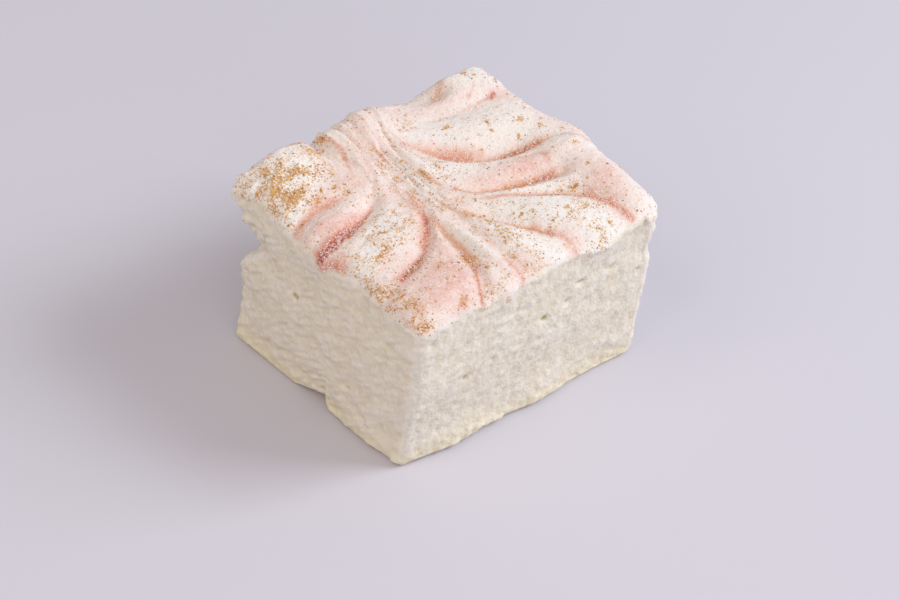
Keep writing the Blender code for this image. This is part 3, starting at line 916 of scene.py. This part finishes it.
blush = sum(strength * oval(x, y, *place) for *place, strength in BLUSH_AND_SHADE_PATCHES)
blush = np.clip(blush * (1.0 + 0.25 * streaks + 0.15 * fine_streaks), 0.0, 1.0)
print("rose covers", ((rose > 0.3) & (upward > 0.9)).sum() * 100 // (upward > 0.9).sum(), "% of the top")

# %% [markdown]
# ## Where the crumbs and sugar fall
# Crumbs lie thick on the left back corner, in the trench beside the stem and along the left
# rim, and thinly elsewhere. Sugar is finest and thickest where syrup held it.

# %% Crumb, speck and sugar fields
# Centre, half length, half width, turn in degrees, strength.
CRUMB_PATCHES = (
    (-22.0, 13.4, 5.4, 4.0, 10.0, 1.0),
    (-22.0, 17.6, 5.0, 3.6, 0.0, 0.55),
    (-13.0, 17.0, 3.0, 4.0, 0.0, 0.5),
    (-15.5, 21.5, 7.0, 1.6, 0.0, 0.3),
    (-18.0, 10.0, 6.0, 1.2, 0.0, 0.4),
    (-13.6, 9.2, 2.4, 1.6, 0.0, 0.35),
    (-24.3, -9.0, 1.6, 6.0, 0.0, 0.35),
    (-24.0, -18.0, 2.0, 5.0, 0.0, 0.4),
    (-16.5, -3.0, 7.5, 3.4, 16.0, 0.62),
    (-20.0, -6.2, 3.0, 1.2, 12.0, 0.4),
    (-8.4, -13.0, 1.0, 4.4, 4.0, 0.6),
    (-4.5, 4.0, 3.0, 5.5, 0.0, 0.32),
    (-0.9, 3.4, 0.7, 2.6, 0.0, 0.5),
    (1.6, 4.0, 1.8, 2.8, 0.0, 0.5),
    (11.5, -14.6, 6.4, 4.2, -42.0, 0.5),
    (17.0, -10.8, 3.0, 1.4, -20.0, 0.55),
    (-0.2, -14.5, 2.6, 4.5, 0.0, 0.45),
    (-0.4, -8.0, 0.9, 2.2, 20.0, 0.5),
    (12.5, -21.0, 3.0, 1.6, 0.0, 0.4),
    (-7.0, -21.5, 3.5, 1.4, 0.0, 0.4),
    (-23.4, -18.0, 4.0, 4.5, 0.0, 0.48),
    (-15.0, -13.0, 7.0, 3.0, -10.0, 0.25),
)
# The same for single larger crumbs and the stain each one leaves.
BIG_CRUMBS = (
    (9.0, 11.4, 0.7, 0.35, 0.0, 0.8),
    (13.3, 11.1, 0.6, 0.4, -30.0, 0.55),
    (15.0, 8.4, 0.4, 0.75, 0.0, 0.9),
    (14.4, 6.4, 0.35, 0.4, 0.0, 0.6),
    (20.0, 5.9, 0.8, 0.5, 10.0, 0.85),
    (22.7, 7.7, 0.5, 0.3, 20.0, 0.6),
    (19.4, 10.8, 0.5, 0.3, 20.0, 0.5),
    (17.5, 3.2, 0.6, 0.35, 40.0, 0.95),
    (21.7, 2.9, 0.55, 0.4, 0.0, 0.75),
    (23.1, 4.3, 0.4, 0.3, 30.0, 0.6),
    (23.8, 0.2, 0.4, 0.3, 0.0, 0.5),
    (22.4, -4.6, 0.5, 0.35, 10.0, 0.9),
    (21.0, -9.3, 0.5, 0.35, 20.0, 0.85),
    (20.2, 20.1, 0.8, 0.4, 20.0, 0.6),
    (24.3, 21.0, 0.6, 0.5, 0.0, 0.5),
    (4.7, 14.8, 0.6, 0.35, 0.0, 0.4),
    (4.7, -11.3, 0.6, 0.35, 0.0, 0.75),
    (6.6, -11.9, 0.5, 0.3, 0.0, 0.65),
    (11.2, -14.7, 0.6, 0.5, 0.0, 0.6),
    (14.6, -15.9, 0.6, 0.35, 20.0, 0.75),
    (16.4, -11.3, 0.6, 0.3, 0.0, 0.7),
    (18.9, -11.5, 0.4, 0.3, 30.0, 0.7),
    (15.6, -20.6, 0.35, 0.6, 0.0, 0.7),
    (-8.9, 20.8, 0.6, 0.8, 0.0, 0.75),
    (-13.0, 18.2, 1.2, 0.8, -60.0, 0.7),
    (-24.8, 16.7, 0.7, 0.4, 20.0, 0.8),
    (-22.0, 18.5, 0.7, 0.9, 0.0, 0.6),
    (-19.2, 18.8, 0.4, 0.6, 0.0, 0.5),
    (-23.4, 14.5, 1.1, 0.7, 20.0, 0.9),
    (-19.9, 15.4, 1.2, 0.6, 10.0, 0.85),
    (-22.3, 12.6, 0.6, 1.0, 0.0, 0.6),
    (-20.2, 12.1, 0.7, 0.6, 0.0, 0.5),
    (-25.2, 12.2, 0.8, 1.6, -20.0, 0.6),
    (-20.2, 10.0, 0.9, 0.3, 10.0, 0.8),
    (-25.6, 9.8, 0.5, 0.4, 0.0, 0.8),
    (-14.0, 8.4, 0.6, 0.6, 0.0, 0.6),
    (-20.0, -6.2, 1.1, 0.35, 20.0, 0.7),
    (-15.5, -2.3, 0.5, 0.4, 0.0, 0.7),
    (-11.2, 0.6, 0.3, 0.6, 0.0, 0.7),
    (-13.7, 2.0, 0.4, 0.4, 0.0, 0.6),
    (-25.2, -10.3, 0.4, 0.3, 0.0, 0.9),
    (-23.5, -16.5, 0.6, 0.3, 20.0, 0.9),
    (-16.0, -20.7, 0.9, 0.6, 30.0, 0.5),
)
CRUMB_BASE = 0.075
on_top = crust * (outward[:, 2] > -0.2)
patchy = 0.6 + 0.75 * lumps(points, (2.2, 2.2, 2.2), 31)
grooves = np.clip(-(1.2 * ropes + 0.7 * streaks), 0.0, 1.0) * stem * crust * patchy
crumbs = CRUMB_BASE + sum(strength * oval(x, y, *place) for *place, strength in CRUMB_PATCHES)
crumbs = crumbs * np.clip(patchy + 0.3 * streaks, 0.1, 1.5)
flakes = sum(strength * oval(x, y, *place) for *place, strength in BIG_CRUMBS) * on_top
crumbs = np.clip(crumbs + flakes + 0.3 * grooves, 0.0, 1.0) * on_top
specks = np.clip(0.25 + crumbs, 0.0, 1.0) * on_top
sugar = np.clip(0.10 + 0.9 * np.minimum(rose, 1.0) + 0.35 * blush, 0.0, 1.0) * on_top
foot_skin = smooth(1.0 - points[:, 2] / FOOT_SKIN_HEIGHT) * (1.0 - crust)
# Painted shade: how deep each burst bubble is, used to darken its hollow.
hollows = np.clip(bubbles * 1.6, 0.0, 1.0) * (1.0 - crust)
# Painted highlight: a lighter band down the vertical edges of the foam sides.
worn = smooth(np.minimum(np.abs(outward[:, 0]), np.abs(outward[:, 1])) * 2.2) * (1.0 - crust)

fields = {
    "crust": crust,
    "rose": rose * crust,
    "amber": amber,
    "blush": blush * crust,
    "crumbs": crumbs,
    "flakes": flakes,
    "specks": specks,
    "sugar": sugar,
    "foot_skin": foot_skin,
    "hollows": hollows,
    "relief": foam,
    "worn": worn,
    "grooves": grooves,
    "strand": strand,
}
for name, field in fields.items():
    attribute = body.data.attributes.new(name, "FLOAT", "POINT")
    attribute.data.foreach_set("value", np.asarray(field, np.float32))
body.data.shade_smooth()
print("written on the body:", ", ".join(fields))

# %% One face for the flat foot
mesh = bmesh.new()
mesh.from_mesh(body.data)
flat = [face for face in mesh.faces if all(abs(corner.co.z) < 1e-7 for corner in face.verts)]
whole = bmesh.ops.dissolve_faces(mesh, faces=flat)["region"]
bmesh.ops.triangulate(mesh, faces=whole)
for face in mesh.faces:
    face.smooth = len(face.verts) > 3
mesh.to_mesh(body.data)
mesh.free()
print("the flat foot took", len(flat), "cells; now", sum(len(f.vertices) == 3 for f in body.data.polygons))

# %% [markdown]
# ## The body's finish
# Marshmallow is matt and lets light in a little way, so the shader has some subsurface. The
# colour is laid on in the order it was made, with painted light on the foam: cream foam, mottled
# at random and darkened by painted shade in the gaps between its lumps and in its burst bubbles,
# with a painted highlight down its vertical edges; then whiter crust, blush, rose and amber syrup
# frayed along the strands, where one amber stroke and one blush patch are painted shadow in the
# back hollow; and last a dusting that whitens whatever stands up. The finest relief, bubbles in
# the foam and grain in the crust, is bump.

# %% Colours of the body
FOAM = (0.84, 0.78, 0.69, 1.0)
# Darker, yellower foam colour, painted as shade into the low places between the foam's lumps.
FOAM_PAINTED_SHADE = (0.66, 0.53, 0.32, 1.0)
# Lighter foam colour, a painted highlight down the vertical edges.
FOAM_EDGE_HIGHLIGHT = (0.89, 0.85, 0.79, 1.0)
FOOT_CREAM = (0.85, 0.76, 0.53, 1.0)
# Darker yellow, painted as shade inside the burst bubbles.
BUBBLE_SHADE_YELLOW = (0.55, 0.42, 0.17, 1.0)
CRUST_WHITE = (0.88, 0.835, 0.81, 1.0)
CRUMB_STAIN = (0.56, 0.25, 0.03, 1.0)
CRUMB_PALE_STAIN = (0.74, 0.43, 0.15, 1.0)
GROOVE_TINT = (0.64, 0.41, 0.30, 1.0)
SUGAR_WHITE = (0.91, 0.87, 0.84, 1.0)
# Thin syrup to thick syrup: first the rose that kept its colour, then the part that browned.
ROSE_STOPS = (
    (0.0, CRUST_WHITE),
    (0.3, (0.82, 0.60, 0.56, 1.0)),
    (0.6, (0.72, 0.35, 0.31, 1.0)),
    (0.85, (0.58, 0.16, 0.135, 1.0)),
    (1.0, (0.47, 0.08, 0.07, 1.0)),
)
AMBER_STOPS = (
    (0.0, CRUST_WHITE),
    (0.3, (0.84, 0.62, 0.52, 1.0)),
    (0.6, (0.72, 0.38, 0.22, 1.0)),
    (0.85, (0.58, 0.23, 0.12, 1.0)),
    (1.0, (0.45, 0.14, 0.07, 1.0)),
)


# %% Material of the body
def mix(bench, amount, first, second):
    """Blend two colours by an amount."""
    return bench.node(
        "ShaderNodeMix",
        {"data_type": "RGBA"},
        {0: amount, 6: first, 7: second},
        give=2,
    )


def new_finish(name):
    """A material with no nodes in it yet, and the bench to build it on."""
    material = bpy.data.materials.new(name)
    material.use_nodes = True
    material.node_tree.nodes.clear()
    return material, Bench(material.node_tree)


def close_finish(bench, **inputs):
    """End a material in a Principled shader with these inputs."""
    values = {name.replace("_", " "): value for name, value in inputs.items()}
    shader = bench.node("ShaderNodeBsdfPrincipled", values=values)
    bench.node("ShaderNodeOutputMaterial", values={"Surface": shader})


def body_finish():
    """Cream foam under a feathered, sugared crust."""
    material, bench = new_finish("foam_and_crust")
    place = bench.node("ShaderNodeTexCoord", give="Object")
    in_mm = bench.node("ShaderNodeVectorMath", {"operation": "SCALE"}, {0: place, "Scale": 1000.0})
    field = {
        name: bench.node("ShaderNodeAttribute", {"attribute_name": name}, give="Fac")
        for name in fields
    }

    def speckle(size, detail=2.0, vector=in_mm):
        return bench.node(
            "ShaderNodeTexNoise",
            values={"Vector": vector, "Scale": 1.0 / size, "Detail": detail, "Roughness": 0.6},
        )

    drift = bench.node("ShaderNodeVectorMath", {"operation": "SCALE"}, {0: in_mm, "Scale": 0.16})
    across = bench.node("ShaderNodeCombineXYZ", values={"X": field["strand"] * 4.2})
    stroke = bench.node("ShaderNodeVectorMath", {"operation": "ADD"}, {0: across, 1: drift})
    streak = speckle(1.0, 3.0, stroke)
    coarse, medium, fine, finest = speckle(2.2), speckle(1.0), speckle(0.42, 1.0), speckle(0.26, 0.0)

    # Random mottling of the foam, plus painted shade: the colour turns darker and yellower where the relief is low.
    mottling = (coarse - 0.5) * 0.8 + (medium - 0.5) * 0.9 + (fine - 0.5) * 0.6
    foam_shade_and_mottling = (0.28 - field["relief"] * 0.95 + mottling).clipped()
    foam_colour = mix(bench, foam_shade_and_mottling * 0.6, FOAM, FOAM_PAINTED_SHADE)
    # Painted highlight along the vertical edges of the foam.
    foam_colour = mix(bench, field["worn"] * 0.5, foam_colour, FOAM_EDGE_HIGHLIGHT)
    foam_colour = mix(bench, field["foot_skin"] * (medium + 0.25).clipped(), foam_colour, FOOT_CREAM)
    # Painted shade in the burst bubbles' hollows.
    foam_colour = mix(bench, field["hollows"].eased(0.5, 1.0) * 0.8, foam_colour, BUBBLE_SHADE_YELLOW)

    thin = field["blush"] * (0.22 + streak * 0.34 + (coarse - 0.5) * 0.35 + (medium - 0.5) * 0.25)
    thick = field["rose"] * (0.8 + streak * 0.5 + (fine - 0.5) * 1.2)
    syrup = (thin + thick + (medium - 0.5) * 0.10).clipped()
    rose_tone = bench.node("ShaderNodeValToRGB", {"stops": ROSE_STOPS}, {"Fac": syrup})
    amber_tone = bench.node("ShaderNodeValToRGB", {"stops": AMBER_STOPS}, {"Fac": syrup})
    browned = (field["amber"] * field["rose"].eased(0.02, 0.3) + 0.1).clipped()
    top_colour = mix(bench, browned, rose_tone, amber_tone)
    grit = (fine - 0.5) * 2.4 + (finest - 0.5) * 1.8
    stain = (field["crumbs"] + (medium - 0.5) * 0.9 + grit).eased(0.4, 1.15)
    flake = (field["flakes"] + grit * 0.6).eased(0.2, 0.8)
    stain = (stain + flake * 0.8).clipped()
    groove = (field["grooves"] * (0.55 + (fine - 0.5) * 3.0)).clipped()
    top_colour = mix(bench, groove, top_colour, GROOVE_TINT)
    crumb_colour = mix(bench, (medium - 0.5).eased(-0.12, 0.12), CRUMB_STAIN, CRUMB_PALE_STAIN)
    top_colour = mix(bench, stain * 0.9, top_colour, crumb_colour)
    dust = (fine - 0.5 + (field["sugar"] - 0.5) * 0.15).eased(0.02, 0.16) * (1.0 - stain * 0.6)
    top_colour = mix(bench, dust * 0.5, top_colour, SUGAR_WHITE)

    colour = mix(bench, field["crust"], foam_colour, top_colour)
    pores = bench.node("ShaderNodeTexVoronoi", values={"Vector": in_mm, "Scale": 1.5}, give="Distance")
    foam_height = pores.eased(0.0, 0.6) * 0.25 + medium * 0.6 + fine * 0.35
    crust_height = fine * (0.5 + field["rose"] * 0.8) + medium * 0.6 + streak * 0.3
    height = foam_height * (1.0 - field["crust"]) + crust_height * field["crust"]
    normal = bench.node(
        "ShaderNodeBump", values={"Strength": 0.8, "Distance": 0.0003, "Height": height}
    )
    close_finish(
        bench,
        Base_Color=colour,
        Roughness=0.75,
        Normal=normal,
        Subsurface_Weight=0.3,
        Subsurface_Radius=(1.0, 0.8, 0.6),
        Subsurface_Scale=0.0012,
        Specular_IOR_Level=0.25,
    )
    return material


body.data.materials.clear()
body.data.materials.append(body_finish())
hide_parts("marshmallow")
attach(body, "root")
print("body has", len(body.data.polygons), "faces")

# %% [markdown]
# ## Crumbs, specks and sugar
# What was strewn on the crust is scattered by Geometry Nodes: points are dealt over the body by
# one of its fields, a tiny solid is put on each, turned and scaled at random, and sunk a little.
# Every copy is made real, because the exported model keeps only real meshes. Each grain also
# carries a random tone, so no two crumbs are quite the same colour.

# %% The scattering tree
def scatter_tree(name, round_grain, material):
    """Scatter one kind of grain over the body."""
    numbers = ("Per square metre", "Smallest", "Largest", "Sink", "Flatness")
    inputs = {"Body": "Object", **{number: "Float" for number in numbers}, "Seed": "Int"}
    bench, given = new_tree(name, {**inputs, "Field": "String"})
    node = bench.node
    ground = node("GeometryNodeObjectInfo", values={"Object": given["Body"]}, give="Geometry")
    thick = node("GeometryNodeInputNamedAttribute", {"data_type": "FLOAT"}, {"Name": given["Field"]})
    deal = bench.tree.nodes.new("GeometryNodeDistributePointsOnFaces")
    bench.tree.links.new(ground.socket, deal.inputs["Mesh"])
    bench.tree.links.new((thick * given["Per square metre"]).socket, deal.inputs["Density"])
    bench.tree.links.new(given["Seed"].socket, deal.inputs["Seed"])
    dealt, normal = Output(bench, deal.outputs["Points"]), Output(bench, deal.outputs["Normal"])

    def chance(seed, low=0.0, high=1.0):
        return node(
            "FunctionNodeRandomValue",
            {"data_type": "FLOAT"},
            {2: low, 3: high, "Seed": given["Seed"] + seed},
            give=1,
        )

    share = chance(1)
    size = given["Smallest"] + (given["Largest"] - given["Smallest"]) * share * share * share
    sunk = node("ShaderNodeVectorMath", {"operation": "SCALE"}, {0: normal, "Scale": size * given["Sink"]})
    dealt = node("GeometryNodeStoreNamedAttribute", {"data_type": "FLOAT"},
                 {"Geometry": dealt, "Name": "size", "Value": size})
    dealt = node("GeometryNodeStoreNamedAttribute", {"data_type": "FLOAT"},
                 {"Geometry": dealt, "Name": "tone", "Value": chance(2)})
    dealt = node("GeometryNodeSetPosition", values={"Geometry": dealt, "Offset": sunk})
    if round_grain:
        grain = node("GeometryNodeMeshIcoSphere", values={"Radius": 0.5, "Subdivisions": 1})
        rough = node("ShaderNodeTexNoise", values={"Scale": 2.3, "Detail": 0.0}, give="Color")
        shift = node("ShaderNodeVectorMath", {"operation": "SUBTRACT"}, {0: rough, 1: (0.5, 0.5, 0.5)})
        grain = node("GeometryNodeSetPosition", values={"Geometry": grain, "Offset": shift})
    else:
        grain = node("GeometryNodeMeshCube", values={"Size": (0.8, 0.6, 0.5)})
    spin = node("FunctionNodeRandomValue", {"data_type": "FLOAT_VECTOR"},
                {0: (0.0, 0.0, 0.0), 1: (6.283, 6.283, 6.283), "Seed": given["Seed"] + 3})
    size = node("GeometryNodeInputNamedAttribute", {"data_type": "FLOAT"}, {"Name": "size"})
    low = 1.0 - given["Flatness"]
    stretch = node("ShaderNodeCombineXYZ", values={
        "X": size * chance(4, low, 1.1), "Y": size * chance(5, low, 1.0), "Z": size * chance(6, low, 0.9)})
    strewn = node("GeometryNodeInstanceOnPoints",
                  values={"Points": dealt, "Instance": grain, "Rotation": spin, "Scale": stretch})
    close_tree(bench, strewn, material)
    return bench


print("one tree serves crumbs, specks and sugar")

# %% Grain finishes
CRUMB_PALE = (0.75, 0.45, 0.20, 1.0)
CRUMB_GOLD = (0.61, 0.28, 0.065, 1.0)
CRUMB_DARK = (0.36, 0.15, 0.04, 1.0)
SPECK = (0.07, 0.045, 0.035, 1.0)
SPECK_BROWN = (0.26, 0.11, 0.05, 1.0)
GRAIN_WHITE = (0.95, 0.92, 0.89, 1.0)
GRAIN_CREAM = (0.90, 0.80, 0.72, 1.0)


def grain_finish(name, stops, roughness):
    """A finish whose colour is picked by each grain's own tone."""
    material, bench = new_finish(name)
    tone = bench.node("ShaderNodeAttribute", {"attribute_name": "tone"}, give="Fac")
    colour = bench.node("ShaderNodeValToRGB", {"stops": stops}, {"Fac": tone})
    close_finish(bench, Base_Color=colour, Roughness=roughness, Specular_IOR_Level=0.4)
    return material


finishes = {
    "golden_crumbs": grain_finish(
        "golden_crumb", ((0.0, CRUMB_PALE), (0.7, CRUMB_GOLD), (1.0, CRUMB_DARK)), 0.6),
    "dark_specks": grain_finish("dark_speck", ((0.0, SPECK_BROWN), (1.0, SPECK)), 0.6),
    "sugar_grains": grain_finish("sugar", ((0.0, GRAIN_CREAM), (0.5, GRAIN_WHITE)), 0.35),
}
print("finishes:", ", ".join(finishes))

# %% Strew them
# Field, grains a square millimetre where the field is full, smallest and largest size in
# millimetres, sink, flatness, roundness, seed.
STREWN = {
    "golden_crumbs": ("crumbs", 16.5, 0.16, 0.60, -0.22, 0.45, True, 7),
    "dark_specks": ("specks", 0.3, 0.10, 0.27, -0.1, 0.4, True, 19),
    "sugar_grains": ("sugar", 5.6, 0.16, 0.36, -0.15, 0.3, False, 31),
}
for name, (field, count, smallest, largest, sink, flatness, is_round, seed) in STREWN.items():
    values = {
        "Body": body,
        "Field": field,
        "Per square metre": count / MILLIMETRE**2,
        "Smallest": smallest * MILLIMETRE,
        "Largest": largest * MILLIMETRE,
        "Sink": sink,
        "Flatness": flatness,
        "Seed": seed,
    }
    piece = grow(name, scatter_tree(name, is_round, finishes[name]), values)
    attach(piece, "root")
    print(name, "has", len(piece.data.polygons), "faces")

# %% [markdown]
# ## Floor, light and camera
# A pale lavender floor runs out of view. One large soft light stands to the right of and above
# the camera; the world fills the shade. The camera looks down on the front corner through a long
# lens, so the sides hardly converge.

# %% Floor
FLOOR_TINT = (0.635, 0.615, 0.695, 1.0)


def stage_floor():
    """A wide plane under the piece."""
    half = 3.0
    mesh = bpy.data.meshes.new("floor")
    corners = [(-half, -half, 0.0), (half, -half, 0.0), (half, half, 0.0), (-half, half, 0.0)]
    mesh.from_pydata(corners, [], [(0, 1, 2, 3)])
    floor = bpy.data.objects.new("floor", mesh)
    bpy.context.scene.collection.objects.link(floor)
    material, bench = new_finish("pale_floor")
    close_finish(bench, Base_Color=FLOOR_TINT, Roughness=0.9, Specular_IOR_Level=0.1)
    mesh.materials.append(material)
    return floor


floor = stage_floor()
print("floor spans", floor.dimensions.x, "m")

# %% Light
def soft_light(name, place, size, power, colour, aim=(0.0, 0.0, 0.015)):
    """A square area light at a place, turned to the piece."""
    lamp = bpy.data.lights.new(name, "AREA")
    lamp.size, lamp.energy, lamp.color = size, power, colour
    light = bpy.data.objects.new(name, lamp)
    light.location = place
    light.rotation_euler = (Vector(aim) - Vector(place)).to_track_quat("-Z", "Y").to_euler()
    bpy.context.scene.collection.objects.link(light)
    return light


soft_light("key", (0.56, -0.40, 0.54), 0.45, 5.2, (0.94, 0.97, 1.0))
soft_light("warm fill", (-0.42, 0.00, 0.45), 0.4, 1.0, (1.0, 0.85, 0.62))
soft_light("front fill", (-0.22, -0.48, 0.40), 0.4, 0.45, (1.0, 0.96, 0.90))
world = bpy.data.worlds.new("studio")
bpy.context.scene.world = world
world.use_nodes = True
world.node_tree.nodes["Background"].inputs["Color"].default_value = (0.96, 0.95, 1.0, 1.0)
world.node_tree.nodes["Background"].inputs["Strength"].default_value = 0.45
bpy.context.scene.view_settings.view_transform = "Standard"
print("key light and world fill")

# %% Camera
LENS_MM = 104.0
CAMERA_DISTANCE = 0.41157
AIM = Vector((-0.004503 + TO_CENTRE[0] * MILLIMETRE, -0.007317 + TO_CENTRE[1] * MILLIMETRE, 0.016))
AZIMUTH, ELEVATION, ROLL = -46.298, 40.237, -7.148


def stand_camera():
    """A camera on a long lens, placed by the angles it looks from."""
    lens = bpy.data.cameras.new("camera")
    lens.lens, lens.sensor_width = LENS_MM, 36.0
    lens.clip_start, lens.clip_end = 0.01, 20.0
    camera = bpy.data.objects.new("camera", lens)
    bpy.context.scene.collection.objects.link(camera)
    azimuth, elevation = math.radians(AZIMUTH), math.radians(ELEVATION)
    back = Vector((
        math.sin(azimuth) * math.cos(elevation),
        -math.cos(azimuth) * math.cos(elevation),
        math.sin(elevation),
    ))
    level = (-back).to_track_quat("-Z", "Y").to_matrix()
    turned = level @ Matrix.Rotation(math.radians(-ROLL), 3, "Z")
    camera.matrix_world = Matrix.Translation(AIM + back * CAMERA_DISTANCE) @ turned.to_4x4()
    bpy.context.scene.camera = camera
    return camera


camera = stand_camera()
print("camera stands at", [round(v * 1000) for v in camera.location], "mm")
